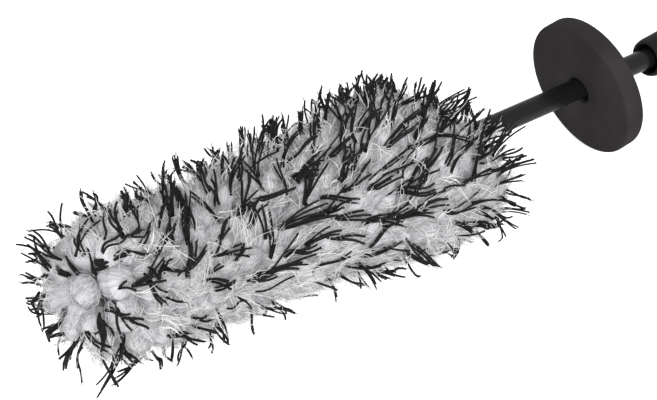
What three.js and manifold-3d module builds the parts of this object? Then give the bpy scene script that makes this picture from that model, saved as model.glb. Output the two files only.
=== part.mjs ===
// Wheel brush: a long soft pile head on a twisted-wire core, a sleeved stem with a loose foam splash
// guard, and a rubber grip over a moulded handle core.
// Millimetres. +X runs along the stem from the nose of the head to the end of the handle and +Z is up.
// The origin is on the surface that the brush lies on, under the middle of its length.

import * as THREE from 'three';
import { mergeVertices } from 'three/addons/utils/BufferGeometryUtils.js';
import Module from 'manifold-3d';

const wasm = await Module();
wasm.setup();

// ---- Driving dimensions ----

const FIT_GAP = 0.3; // between pieces that touch

const HEAD_LENGTH = 194; // nose of the pile to its rear face
const PILE_RADIUS = 41; // axis to the flats that the head lies on
const NOSE_DEPTH = 24; // length of the rounded front of the pile
const NOSE_SETBACK = 3; // how far the nose tuft stands out of the pile
const REAR_ROUND = 16; // rounding of the pile's rear shoulder
const NOSE_TUFT_RADIUS = 6.6;
const NOSE_TUFT_LENGTH = 11;

const STEM_DIAMETER = 11;
const SLEEVE_WALL = 1.3;
const SLEEVE_IN_PILE = 12; // how far the sleeve runs into the pile
const EXPOSED_STEM = 117; // rear face of the pile to the lip of the grip
const TWIST_PITCH = 24; // one full turn of the two core wires

const TIP_CAP_WALL = 1.6;
const TIP_CAP_LENGTH = 14;
const FERRULE_WALL = 1.4;
const FERRULE_LENGTH = 22;

const GUARD_DIAMETER = 73;
const GUARD_THICKNESS = 10;
const GUARD_PLAY = 0.9; // slack of the hole on the stem, beyond what the lean takes up
const GUARD_EDGE_ROUND = 1.4;
const GUARD_FROM_PILE = 71; // rear face of the pile to the middle of the guard's front face
const GUARD_TILT = THREE.MathUtils.degToRad(10); // the top of the loose disc leans towards the head

const GRIP_LENGTH = 106;
const RECESS_WIDTH = 2.3; // open ring between the stem and the front of the grip
const RECESS_DEPTH = 8;
const LIP_WALL = 2.5; // of the rounded front lip, outside the recess
const LIP_ROUND = 3;
const SHOULDER_WALL = 2; // of the grip over the handle core, from front to rear
const SWELL_WALL = 4.3;
const WAIST_WALL = 2.9;
const REAR_WALL = 3.9;

const CORE_WALL = 3.1; // of the handle core round the ferrule
const WEB_THICKNESS = 6; // wall of the core that the ferrule pulls against
const FERRULE_TO_PLUG = 10; // room in the core between the ferrule and the end cap's spigot

const CAP_LENGTH = 20; // length of the end cap behind the grip
const CAP_END_RADIUS = 7; // flat end of the cap
const SPIGOT_LENGTH = 14;
const HANG_HOLE_DIAMETER = 8;
const HANG_HOLE_FROM_END = 8.5; // middle of the hole to the end of the cap

const SIDES_PILE = 20;
const SIDES_STEM = 32;
const SIDES_GUARD = 48;
const SIDES_GRIP = 36;
const SIDES_WIRE = 6;
const STEPS_PER_TURN = 12;

// ---- Sizes worked out from them ----

const TOTAL_LENGTH = HEAD_LENGTH + EXPOSED_STEM + GRIP_LENGTH + CAP_LENGTH;
const NOSE_X = -TOTAL_LENGTH / 2;
const PILE_FRONT_X = NOSE_X + NOSE_SETBACK;
const PILE_REAR_X = NOSE_X + HEAD_LENGTH;
const GRIP_FRONT_X = PILE_REAR_X + EXPOSED_STEM;
const GRIP_REAR_X = GRIP_FRONT_X + GRIP_LENGTH;
const END_X = GRIP_REAR_X + CAP_LENGTH;

const STEM_RADIUS = STEM_DIAMETER / 2;
const CORE_BORE = STEM_RADIUS - SLEEVE_WALL; // bore that clears the twisted wires
const TWIST_ENVELOPE = CORE_BORE - FIT_GAP;
const CHORD = Math.cos(Math.PI / STEPS_PER_TURN); // a stepped helix cuts its corners by this share
const WIRE_DIAMETER = (2 * TWIST_ENVELOPE - FIT_GAP / CHORD) / (1 + 1 / CHORD);
const TWIST_RADIUS = TWIST_ENVELOPE - WIRE_DIAMETER / 2;

const TIP_CAP_RADIUS = CORE_BORE + TIP_CAP_WALL;
const TIP_CAP_X = NOSE_X + NOSE_TUFT_LENGTH + FIT_GAP;
const TIP_CAP_REAR_X = TIP_CAP_X + TIP_CAP_LENGTH;
const NOSE_BORE = Math.max(NOSE_TUFT_RADIUS, TIP_CAP_RADIUS) + FIT_GAP;
const SLEEVE_FRONT_X = PILE_REAR_X - SLEEVE_IN_PILE;

const SPIGOT_X = GRIP_REAR_X - SPIGOT_LENGTH;
const FERRULE_RADIUS = CORE_BORE + FERRULE_WALL;
const FERRULE_X = SPIGOT_X - FERRULE_TO_PLUG - FERRULE_LENGTH;
const CHAMBER_RADIUS = FERRULE_RADIUS + FIT_GAP;
const CHAMBER_X = FERRULE_X - FIT_GAP;
const CORE_FRONT_X = GRIP_FRONT_X + RECESS_DEPTH;
const SOCKET_RADIUS = STEM_RADIUS + FIT_GAP;
const SOCKET_END_X = CHAMBER_X - WEB_THICKNESS;
const SLEEVE_REAR_X = SOCKET_END_X - FIT_GAP;
const CORE_RADIUS = Math.max(CHAMBER_RADIUS, SOCKET_RADIUS) + CORE_WALL;
const GRIP_BORE = CORE_RADIUS + FIT_GAP;
const GRIP_REAR_RADIUS = GRIP_BORE + REAR_WALL;
const RECESS_RADIUS = STEM_RADIUS + RECESS_WIDTH;
const WIRE_LEAD = Math.atan(2 * Math.PI * TWIST_RADIUS / TWIST_PITCH); // slope of a wire to the axis
const WIRE_END_SLANT = WIRE_DIAMETER / 2 * Math.sin(WIRE_LEAD); // a square-cut end leans out this far
const WIRE_FRONT_X = TIP_CAP_X + TIP_CAP_WALL + FIT_GAP + WIRE_END_SLANT;
const WIRE_REAR_X = FERRULE_X + FERRULE_LENGTH - WIRE_END_SLANT;

// The guard hangs by the top of its hole and leans until the hole's edges meet the stem.
const GUARD_LEAN_X = GUARD_THICKNESS / 2 * Math.cos(GUARD_TILT);
const GUARD_LEAN_Z = GUARD_THICKNESS / 2 * Math.sin(GUARD_TILT);
const GUARD_HOLE_RADIUS = (STEM_RADIUS + FIT_GAP + GUARD_LEAN_Z + GUARD_PLAY / 2) / Math.cos(GUARD_TILT);
const GUARD_HANG = GUARD_PLAY / 2;
const GUARD_REACH = GUARD_DIAMETER / 2 * Math.cos(GUARD_TILT) + GUARD_LEAN_Z + GUARD_HANG;
const AXIS_HEIGHT = Math.max(PILE_RADIUS, GUARD_REACH); // the brush lies on its widest piece

// ---- Helpers ----

// The corner radius of a many-sided bore or drum whose flats are at the given radius.
function cornerRadius(flatRadius, sides) {
  return flatRadius / Math.cos(Math.PI / sides);
}

// A turned solid on the stem's axis. Each outline point is [x, radius]. A flat faces straight down.
function turned(outline, sides) {
  const points = outline.map(([x, radius]) => new THREE.Vector2(radius, x));
  const geometry = new THREE.LatheGeometry(points, sides, Math.PI / sides);
  geometry.rotateZ(-Math.PI / 2);
  return geometry;
}

// Points of a quarter of an ellipse from one outline point to another. The curve leaves the first point
// along the radius when startsRadial is true, and along the axis otherwise.
function quarterRound([x0, r0], [x1, r1], steps, startsRadial) {
  const points = [];
  for (let i = 0; i <= steps; i++) {
    const angle = (i / steps) * Math.PI / 2;
    const slow = 1 - Math.cos(angle);
    const fast = Math.sin(angle);
    const alongX = startsRadial ? slow : fast;
    const alongR = startsRadial ? fast : slow;
    points.push([x0 + (x1 - x0) * alongX, r0 + (r1 - r0) * alongR]);
  }
  return points;
}

function asManifold(geometry) {
  const bare = geometry.clone();
  bare.deleteAttribute('normal');
  bare.deleteAttribute('uv');
  const merged = mergeVertices(bare, 1e-4);
  return new wasm.Manifold(new wasm.Mesh({
    numProp: 3,
    vertProperties: merged.attributes.position.array,
    triVerts: new Uint32Array(merged.index.array),
  }));
}

function asGeometry(solid) {
  const mesh = solid.getMesh();
  const geometry = new THREE.BufferGeometry();
  geometry.setAttribute('position', new THREE.BufferAttribute(mesh.vertProperties, 3));
  geometry.setIndex(new THREE.BufferAttribute(mesh.triVerts, 1));
  geometry.computeVertexNormals();
  return geometry;
}

function named(name, geometry, material) {
  const mesh = new THREE.Mesh(geometry, new THREE.MeshStandardMaterial(material));
  mesh.name = name;
  return mesh;
}

// ---- Finishes ----

const WHITE_PILE = { color: 0xc9cacd, roughness: 0.95, metalness: 0 };
const BLACK_SLEEVE = { color: 0x16171a, roughness: 0.4, metalness: 0 };
const CHARCOAL_FOAM = { color: 0x38363a, roughness: 0.9, metalness: 0 };
const BLACK_RUBBER = { color: 0x1a191b, roughness: 0.75, metalness: 0 };
const BLACK_PLASTIC = { color: 0x222224, roughness: 0.55, metalness: 0 };
const BRIGHT_WIRE = { color: 0xa9abad, roughness: 0.35, metalness: 1 };

// ---- Head ----

// The soft pile as one closed body: rounded nose, straight sides and a rounded rear shoulder, bored for
// the nose tuft, the tip cap, the wires and the front of the sleeve.
function pile() {
  const noseBore = cornerRadius(NOSE_BORE, SIDES_PILE);
  const wireBore = cornerRadius(CORE_BORE, SIDES_PILE);
  const sleeveBore = cornerRadius(SOCKET_RADIUS, SIDES_PILE);
  const outside = cornerRadius(PILE_RADIUS, SIDES_PILE);
  const rearFace = outside - REAR_ROUND;
  const capPocketX = TIP_CAP_REAR_X + FIT_GAP;
  const sleevePocketX = SLEEVE_FRONT_X - FIT_GAP;
  const outline = [
    ...quarterRound([PILE_FRONT_X, noseBore], [PILE_FRONT_X + NOSE_DEPTH, outside], 6, true),
    ...quarterRound([PILE_REAR_X - REAR_ROUND, outside], [PILE_REAR_X, rearFace], 4, false),
    [PILE_REAR_X, sleeveBore],
    [sleevePocketX, sleeveBore],
    [sleevePocketX, wireBore],
    [capPocketX, wireBore],
    [capPocketX, noseBore],
    [PILE_FRONT_X, noseBore],
  ];
  return named('pile', turned(outline, SIDES_PILE), WHITE_PILE);
}

// The round tuft in the middle of the nose, which covers the tip cap.
function noseTuft() {
  const shoulderX = NOSE_X + NOSE_TUFT_RADIUS;
  const outline = [
    ...quarterRound([NOSE_X, 0], [shoulderX, NOSE_TUFT_RADIUS], 6, true),
    [NOSE_X + NOSE_TUFT_LENGTH, NOSE_TUFT_RADIUS],
    [NOSE_X + NOSE_TUFT_LENGTH, 0],
  ];
  return named('nose_tuft', turned(outline, SIDES_PILE), WHITE_PILE);
}

// A moulded cup over the cut ends of the wires.
function tipCap() {
  const bore = cornerRadius(CORE_BORE, SIDES_STEM);
  const floorX = TIP_CAP_X + TIP_CAP_WALL;
  const outline = [
    [TIP_CAP_X, 0],
    ...quarterRound([TIP_CAP_X, TIP_CAP_RADIUS - TIP_CAP_WALL], [floorX, TIP_CAP_RADIUS], 3, true),
    [TIP_CAP_REAR_X, TIP_CAP_RADIUS],
    [TIP_CAP_REAR_X, bore],
    [floorX, bore],
    [floorX, 0],
  ];
  return named('tip_cap', turned(outline, SIDES_STEM), BLACK_PLASTIC);
}

// ---- Stem ----

class Helix extends THREE.Curve {
  constructor(phase) {
    super();
    this.phase = phase;
  }

  getPoint(t, target = new THREE.Vector3()) {
    const x = THREE.MathUtils.lerp(WIRE_FRONT_X, WIRE_REAR_X, t);
    const angle = this.phase + (x - WIRE_FRONT_X) / TWIST_PITCH * 2 * Math.PI;
    return target.set(x, TWIST_RADIUS * Math.cos(angle), TWIST_RADIUS * Math.sin(angle));
  }
}

function coreWire(name, phase) {
  const section = new THREE.Shape();
  for (let i = 0; i < SIDES_WIRE; i++) {
    const angle = i / SIDES_WIRE * 2 * Math.PI;
    const u = WIRE_DIAMETER / 2 * Math.cos(angle);
    const v = WIRE_DIAMETER / 2 * Math.sin(angle);
    if (i === 0) {
      section.moveTo(u, v);
    } else {
      section.lineTo(u, v);
    }
  }
  const turns = (WIRE_REAR_X - WIRE_FRONT_X) / TWIST_PITCH;
  const geometry = new THREE.ExtrudeGeometry(section, {
    extrudePath: new Helix(phase),
    steps: Math.ceil(turns * STEPS_PER_TURN),
    curveSegments: 1,
    bevelEnabled: false,
  });
  return named(name, geometry, BRIGHT_WIRE);
}

function stemSleeve() {
  const bore = cornerRadius(CORE_BORE, SIDES_STEM);
  const outline = [
    [SLEEVE_FRONT_X, bore],
    [SLEEVE_FRONT_X, STEM_RADIUS],
    [SLEEVE_REAR_X, STEM_RADIUS],
    [SLEEVE_REAR_X, bore],
    [SLEEVE_FRONT_X, bore],
  ];
  return named('stem_sleeve', turned(outline, SIDES_STEM), BLACK_SLEEVE);
}

// ---- Splash guard ----

// A foam disc, loose on the stem and leaning on it.
function splashGuard() {
  const half = GUARD_THICKNESS / 2;
  const outside = GUARD_DIAMETER / 2;
  const round = GUARD_EDGE_ROUND;
  const bore = cornerRadius(GUARD_HOLE_RADIUS, SIDES_GUARD);
  const outline = [
    [-half, bore],
    ...quarterRound([-half, outside - round], [-half + round, outside], 3, true),
    ...quarterRound([half - round, outside], [half, outside - round], 3, false),
    [half, bore],
    [-half, bore],
  ];
  const mesh = named('splash_guard', turned(outline, SIDES_GUARD), CHARCOAL_FOAM);
  mesh.position.set(PILE_REAR_X + GUARD_FROM_PILE + GUARD_LEAN_X, 0, -GUARD_HANG);
  mesh.rotation.y = -GUARD_TILT;
  return mesh;
}

// ---- Handle ----

// The rigid moulding inside the grip: a socket for the sleeve, a web that the ferrule pulls against, and a
// chamber for the ferrule that the end cap plugs.
function handleCore() {
  const socket = cornerRadius(SOCKET_RADIUS, SIDES_STEM);
  const web = cornerRadius(CORE_BORE, SIDES_STEM);
  const chamber = cornerRadius(CHAMBER_RADIUS, SIDES_STEM);
  const outline = [
    [CORE_FRONT_X, socket],
    [CORE_FRONT_X, CORE_RADIUS],
    [GRIP_REAR_X, CORE_RADIUS],
    [GRIP_REAR_X, chamber],
    [CHAMBER_X, chamber],
    [CHAMBER_X, web],
    [SOCKET_END_X, web],
    [SOCKET_END_X, socket],
    [CORE_FRONT_X, socket],
  ];
  return named('handle_core', turned(outline, SIDES_STEM), BLACK_PLASTIC);
}

function wireFerrule() {
  const bore = cornerRadius(CORE_BORE, SIDES_STEM);
  const rearX = FERRULE_X + FERRULE_LENGTH;
  const outline = [
    [FERRULE_X, bore],
    [FERRULE_X, FERRULE_RADIUS],
    [rearX, FERRULE_RADIUS],
    [rearX, bore],
    [FERRULE_X, bore],
  ];
  return named('wire_ferrule', turned(outline, SIDES_STEM), BRIGHT_WIRE);
}

// The soft sleeve that the hand holds: a rounded lip, a swell behind it, a waist and a rear swell.
function grip() {
  const lipEndX = GRIP_FRONT_X + LIP_ROUND;
  const lipRadius = RECESS_RADIUS + LIP_WALL;
  const body = GRIP_LENGTH - LIP_ROUND;
  const recess = cornerRadius(RECESS_RADIUS, SIDES_GRIP);
  const bore = cornerRadius(GRIP_BORE, SIDES_GRIP);
  const stepX = CORE_FRONT_X - FIT_GAP;
  const crest = (lipRadius - recess) / 4; // the lip's round meets the recess this far outside it
  const side = new THREE.SplineCurve([
    new THREE.Vector2(lipEndX, lipRadius),
    new THREE.Vector2(lipEndX + body * 0.12, GRIP_BORE + SHOULDER_WALL),
    new THREE.Vector2(lipEndX + body * 0.32, GRIP_BORE + SWELL_WALL),
    new THREE.Vector2(lipEndX + body * 0.6, GRIP_BORE + WAIST_WALL),
    new THREE.Vector2(lipEndX + body * 0.86, GRIP_REAR_RADIUS),
    new THREE.Vector2(GRIP_REAR_X, GRIP_REAR_RADIUS),
  ]);
  const outline = [
    ...quarterRound([GRIP_FRONT_X, recess + crest], [lipEndX, lipRadius], 4, true),
    ...side.getPoints(16).slice(1).map((point) => [point.x, point.y]),
    [GRIP_REAR_X, bore],
    [stepX, bore],
    [stepX, recess],
    [GRIP_FRONT_X + crest, recess],
    [GRIP_FRONT_X, recess + crest],
  ];
  return named('grip', turned(outline, SIDES_GRIP), BLACK_RUBBER);
}

// A plug for the rear of the handle with a cross hole to hang the brush by.
function endCap() {
  const frontX = GRIP_REAR_X + FIT_GAP;
  const spigotRadius = CHAMBER_RADIUS - FIT_GAP;
  const shoulderX = END_X - HANG_HOLE_FROM_END;
  const outline = [
    [SPIGOT_X, 0],
    [SPIGOT_X, spigotRadius],
    [frontX, spigotRadius],
    [frontX, GRIP_REAR_RADIUS],
    ...quarterRound([shoulderX, GRIP_REAR_RADIUS], [END_X, CAP_END_RADIUS], 5, false),
    [END_X, 0],
  ];
  const drill = new THREE.CylinderGeometry(
    HANG_HOLE_DIAMETER / 2, HANG_HOLE_DIAMETER / 2, 3 * GRIP_REAR_RADIUS, 24);
  drill.translate(END_X - HANG_HOLE_FROM_END, 0, 0);
  const solid = asManifold(turned(outline, SIDES_GRIP)).subtract(asManifold(drill));
  return named('end_cap', asGeometry(solid), BLACK_PLASTIC);
}

// ---- The brush ----

const brush = new THREE.Group();
brush.position.z = AXIS_HEIGHT;
brush.add(
  pile(),
  noseTuft(),
  tipCap(),
  coreWire('core_wire_a', 0),
  coreWire('core_wire_b', Math.PI),
  stemSleeve(),
  splashGuard(),
  handleCore(),
  wireFerrule(),
  grip(),
  endCap(),
);

const scene = new THREE.Group();
scene.add(brush);

export default scene;
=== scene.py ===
"""Looks of a wheel brush: fluffy pile head with black yarn, sleeved stem, foam splash guard, rubber grip.
Metres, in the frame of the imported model: +X along the stem towards the handle, +Z up."""

import math

import bpy
import numpy as np
from mathutils import Matrix, Vector


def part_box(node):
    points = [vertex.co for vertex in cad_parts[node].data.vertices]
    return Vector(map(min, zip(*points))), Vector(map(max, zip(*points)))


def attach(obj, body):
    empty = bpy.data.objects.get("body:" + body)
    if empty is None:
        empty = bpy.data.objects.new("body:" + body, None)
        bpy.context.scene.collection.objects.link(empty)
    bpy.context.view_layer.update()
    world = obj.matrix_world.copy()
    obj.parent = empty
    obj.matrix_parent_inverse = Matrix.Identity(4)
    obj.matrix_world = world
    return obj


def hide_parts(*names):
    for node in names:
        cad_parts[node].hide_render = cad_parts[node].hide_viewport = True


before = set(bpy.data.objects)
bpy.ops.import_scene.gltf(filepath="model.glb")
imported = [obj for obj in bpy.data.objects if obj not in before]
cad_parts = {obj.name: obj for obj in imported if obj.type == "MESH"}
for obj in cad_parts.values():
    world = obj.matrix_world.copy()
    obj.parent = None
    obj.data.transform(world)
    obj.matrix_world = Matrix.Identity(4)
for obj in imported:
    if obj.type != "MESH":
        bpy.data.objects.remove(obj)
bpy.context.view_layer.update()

MM = 0.001
SEED = 20

# ---- Places read from the frame ----

PILE_LOW, PILE_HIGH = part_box("pile")
NOSE_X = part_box("nose_tuft")[0][0]
STEM_LOW, STEM_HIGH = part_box("stem_sleeve")
GUARD_LOW, GUARD_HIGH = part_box("splash_guard")
GRIP_LOW, GRIP_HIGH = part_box("grip")
CAP_LOW, CAP_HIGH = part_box("end_cap")
WIRES_LOW, WIRES_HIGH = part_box("core_wire_a")

AXIS_Z = (STEM_LOW[2] + STEM_HIGH[2]) / 2
PILE_FRONT_X, PILE_REAR_X = PILE_LOW[0], PILE_HIGH[0]
PILE_RADIUS = (PILE_HIGH[1] - PILE_LOW[1]) / 2
STEM_RADIUS = (STEM_HIGH[2] - STEM_LOW[2]) / 2
WIRE_BORE = (WIRES_HIGH[1] - WIRES_LOW[1]) / 2 + 0.4 * MM

# ---- The form of the head ----

FLUFF_FRONT_RADIUS = PILE_RADIUS - 9.5 * MM
FLUFF_REAR_RADIUS = PILE_RADIUS - 4.5 * MM
FACE_PROUD = 12 * MM  # the ring of petals round the nose stands this far ahead of the pile
FACE_RADIUS = 23.5 * MM
NOSE_PROUD = 13 * MM
RING_ARC = 26.5 * MM  # where the ring of large petals grows, from the nose
RING_PETALS = 8
FARTHEST_FRONT = NOSE_X - 22 * MM
FARTHEST_REAR = PILE_REAR_X + 16 * MM
WIDEST = PILE_RADIUS + 10.5 * MM
REAR_DEPTH = 15 * MM
REAR_FACE_RADIUS = 9 * MM
BED_DEPTH = 11 * MM  # the bed lies this far under the tips of the tufts
BRUSHED_TURN = math.radians(130)  # the side where the strands lie flattest
NOD_TURN = math.radians(117)  # the front of the head nods to this side
NOD_ANGLE = math.radians(38)
NOD_LENGTH = 52 * MM
DROOP_TURN = math.radians(220)  # the rear of the head sags to this side
DROOP = 5 * MM
REAR_SKEW = 13 * MM
REAR_TRIM = 0.35  # the share of the skew by which the whole rear stands further forward

TUFT_SPACING = 11 * MM
TUFT_LENGTH = 25 * MM
TUFT_RADIUS = 6 * MM
TUFT_FLATNESS = 0.84


def smooth_through(keys, values, at):
    """A smooth curve through the given values, with centred slopes."""
    keys, values = np.array(keys, float), np.array(values, float)
    slope = np.gradient(values, keys)
    i = np.clip(np.searchsorted(keys, at, side="right") - 1, 0, len(keys) - 2)
    h = keys[i + 1] - keys[i]
    t = (at - keys[i]) / h
    start = values[i] * (2 * t**3 - 3 * t**2 + 1) + slope[i] * h * (t**3 - 2 * t**2 + t)
    end = values[i + 1] * (3 * t**2 - 2 * t**3) + slope[i + 1] * h * (t**3 - t**2)
    return start + end


def skin_outline():
    """The surface that the tufts' tips reach, as x, radius and arc length from the nose to the stem."""
    front, rear = PILE_FRONT_X, PILE_REAR_X
    corners = np.array([
        (front - FACE_PROUD * 0.3, 0),
        (front - FACE_PROUD * 0.65, FACE_RADIUS * 0.5),
        (front - FACE_PROUD, FACE_RADIUS),
        (front - FACE_PROUD * 0.7, FLUFF_FRONT_RADIUS - 5 * MM),
        (front - FACE_PROUD * 0.1, FLUFF_FRONT_RADIUS - 0.5 * MM),
        (front + 14 * MM, FLUFF_FRONT_RADIUS),
        ((front + rear) / 2, (FLUFF_FRONT_RADIUS + FLUFF_REAR_RADIUS) / 2 + 1 * MM),
        (rear - REAR_DEPTH, FLUFF_REAR_RADIUS),
        (rear - REAR_DEPTH * 0.35, FLUFF_REAR_RADIUS - 6 * MM),
        (rear, FLUFF_REAR_RADIUS * 0.5),
        (rear + 1 * MM, REAR_FACE_RADIUS),
    ])
    legs = np.linalg.norm(np.diff(corners, axis=0), axis=1)
    keys = np.concatenate([[0], np.cumsum(legs)])
    fine = np.linspace(0, keys[-1], 400)
    x, r = smooth_through(keys, corners[:, 0], fine), smooth_through(keys, corners[:, 1], fine)
    arc = np.concatenate([[0], np.cumsum(np.hypot(np.diff(x), np.diff(r)))])
    return x, np.maximum(r, 0), arc, np.interp(keys, fine, arc)


SKIN_X, SKIN_R, SKIN_ARC, CORNER_ARCS = skin_outline()
RIM_ARC, MIDDLE_ARC, SHOULDER_ARC, END_ARC = (CORNER_ARCS[i] for i in (4, 6, 7, 10))

# How far a strand leans back from straight out of the stem: forwards at the nose, back along the side.
LEAN_ARCS = [
    0, 0.35 * RIM_ARC, 0.7 * RIM_ARC, RIM_ARC + 6 * MM,
    RIM_ARC + 40 * MM, MIDDLE_ARC, SHOULDER_ARC, END_ARC,
]
LEAN_DEGREES = [-88, -34, -26, -10, 14, 26, 38, 76]
BRUSHED_DEGREES = 24  # how much further back the strands of the brushed side lie
SWEPT_TURN = math.radians(100)  # the side where they are swept round the stem as well
SWEPT_DEGREES = 30
STANDING_TURN = math.radians(40)  # the side where they stand more upright
STANDING_DEGREES = 20
FIELD_LENGTH = 45 * MM  # the three fade in over this length behind the rim of the front
SHORT_AT_STEM = 14 * MM  # the yarn gets shorter over the last of the way to the stem
LOCK_TURN = math.radians(150)


def skin_at(arc, turn):
    """Points of the skin at arcs from the nose and turns about the stem. Turn 0 faces +Y, a quarter +Z."""
    x = np.interp(arc, SKIN_ARC, SKIN_X)
    r = skin_radius(arc)
    late = np.clip((arc - MIDDLE_ARC) / (SHOULDER_ARC - MIDDLE_ARC), 0, 1)
    skew = REAR_SKEW * (np.cos(turn - DROOP_TURN) - REAR_TRIM)
    x = x + skew * late**3 * r / FLUFF_REAR_RADIUS
    sag = DROOP * late
    y, z = r * np.cos(turn) + sag * math.cos(DROOP_TURN), r * np.sin(turn) + sag * math.sin(DROOP_TURN)
    return np.stack([x, y, AXIS_Z + z], -1)


def strand_direction(arc, turn, lean, side):
    """Unit directions that lean back by the field's angle plus lean, and round the stem by side."""
    degrees = np.interp(arc, LEAN_ARCS, LEAN_DEGREES) + BRUSHED_DEGREES * brushed_flat(arc, turn)
    degrees = degrees - STANDING_DEGREES * on_side(arc, turn, STANDING_TURN)
    back = np.radians(degrees) + lean
    side = side - math.radians(SWEPT_DEGREES) * on_side(arc, turn, SWEPT_TURN)
    out = np.stack([np.sin(back), np.cos(back) * np.cos(turn), np.cos(back) * np.sin(turn)], -1)
    around = np.stack([np.zeros_like(turn), -np.sin(turn), np.cos(turn)], -1)
    return out * np.cos(side)[..., None] + around * np.sin(side)[..., None]


def skin_radius(arc):
    return np.interp(arc, SKIN_ARC, SKIN_R)


def skin_normal(arc, turn):
    """Unit directions straight out of the skin."""
    step = 1 * MM
    run = np.interp(arc + step, SKIN_ARC, SKIN_X) - np.interp(arc - step, SKIN_ARC, SKIN_X)
    rise = skin_radius(arc + step) - skin_radius(arc - step)
    return unit(np.stack([-rise, run * np.cos(turn), run * np.sin(turn)], -1))


def brushed_flat(arc, turn):
    """How flat the pile lies at a place, from 0 where it stands to 1 in the middle of the brushed side."""
    return on_side(arc, turn, BRUSHED_TURN) * np.sqrt(np.maximum(np.cos(turn - BRUSHED_TURN), 0))


def on_side(arc, turn, middle):
    """1 along the middle of a side of the head, 0 from a quarter turn away, and 0 at its front."""
    return np.maximum(np.cos(turn - middle), 0) * np.clip((arc - RIM_ARC) / FIELD_LENGTH, 0, 1)


def unit(v):
    return v / np.maximum(np.linalg.norm(v, axis=-1, keepdims=True), 1e-12)


def softly_above(values, limit):
    """Values that never pass under the limit, and hardly change where they are well above it."""
    soft = 0.5 * MM
    return limit + soft * np.logaddexp(0, (values - limit) / soft)


def settled(points, clearance):
    """Strands that would pass under the floor lie bent along it, and none stands far out of the head."""
    kept = points.copy()
    kept[..., 0] = -softly_above(-softly_above(points[..., 0], FARTHEST_FRONT), -FARTHEST_REAR)
    off = points[..., 1:] - np.array([0, AXIS_Z])
    reach = np.maximum(np.linalg.norm(off, axis=-1, keepdims=True), 0.1 * MM)
    kept[..., 1:] = off * (-softly_above(-reach, -WIDEST) / reach) + np.array([0, AXIS_Z])
    kept[..., 2] = softly_above(kept[..., 2], clearance)
    return kept


def nodded(points):
    """Bends the front of the head over, as the limp tip of the pile hangs."""
    radius = NOD_LENGTH / NOD_ANGLE
    root_x = NOSE_X + NOD_LENGTH
    toward = np.array([math.cos(NOD_TURN), math.sin(NOD_TURN)])
    off = (points[..., 1:] - np.array([0, AXIS_Z])) @ toward
    ahead = np.maximum(root_x - points[..., 0], 0)
    angle = ahead / radius
    bent = points.copy()
    bent[..., 0] = np.where(ahead > 0, root_x - (radius - off) * np.sin(angle), points[..., 0])
    shift = np.where(ahead > 0, radius - (radius - off) * np.cos(angle) - off, 0)
    bent[..., 1:] += shift[..., None] * toward
    return bent


def frames(paths):
    """The tangent and two cross directions at each point of each path."""
    tangent = unit(np.gradient(paths, axis=1))
    bend = np.cross(tangent[:, 0], tangent[:, -1])
    spare = np.cross(tangent[:, 0], np.roll(tangent[:, 0], 1, axis=1) + 0.3)
    bend = unit(np.where(np.linalg.norm(bend, axis=1, keepdims=True) > 0.05, bend, spare))
    u = unit(np.cross(bend[:, None, :], tangent))
    return tangent, u, np.cross(tangent, u)


# ---- Mesh helpers ----


def tubes(name, paths, radii, sides, shade, flat=1.0, clearance=0.3 * MM):
    """Many closed tubes as one object. paths is n x m x 3, and radii n x m or n x m x sides. Each vertex
    keeps its share of the way along its tube and its tube's shade. One UV map runs round and along every
    tube, and the other gives each tube a cell of its own."""
    n, m, _ = paths.shape
    paths = settled(nodded(paths), clearance)
    _, u, v = frames(paths)
    angle = np.arange(sides) * 2 * math.pi / sides
    around = u[:, :, None] * np.cos(angle)[:, None] * flat + v[:, :, None] * np.sin(angle)[:, None]
    radii = radii if radii.ndim == 3 else radii[:, :, None]
    points = paths[:, :, None] + around * radii[..., None]
    points[..., 2] = softly_above(points[..., 2], 0.2 * MM)
    mesh = tube_faces(name, points)
    for label, values in (("along", np.linspace(0, 1, m)[None, :, None]), ("shade", shade[:, None, None])):
        layer = mesh.attributes.new(label, "FLOAT", "POINT")
        layer.data.foreach_set("value", np.broadcast_to(values, (n, m, sides)).ravel().astype(np.float32))
    tube_maps(mesh, n, m, sides)
    piece = bpy.data.objects.new(name, mesh)
    bpy.context.collection.objects.link(piece)
    return piece


def tube_faces(name, points):
    """A mesh of rings joined by quads, with a face across each end of each tube."""
    n, m, sides, _ = points.shape
    ring = np.arange(n * m * sides).reshape(n, m, sides)
    beside = np.roll(ring, -1, axis=2)
    quads = np.stack([ring[:, :-1], beside[:, :-1], beside[:, 1:], ring[:, 1:]], -1).reshape(-1, 4)
    caps = np.stack([ring[:, 0, ::-1], ring[:, -1]], 1).reshape(-1, sides)
    loops = np.concatenate([quads.ravel(), caps.ravel()])
    starts = np.concatenate([np.arange(len(quads)) * 4, len(quads) * 4 + np.arange(len(caps)) * sides])
    mesh = bpy.data.meshes.new(name)
    mesh.vertices.add(n * m * sides)
    mesh.vertices.foreach_set("co", points.ravel())
    mesh.loops.add(len(loops))
    mesh.loops.foreach_set("vertex_index", loops)
    mesh.polygons.add(len(starts))
    mesh.polygons.foreach_set("loop_start", starts)
    mesh.update(calc_edges=True)
    mesh.polygons.foreach_set("use_smooth", np.full(len(starts), True))
    return mesh


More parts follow.
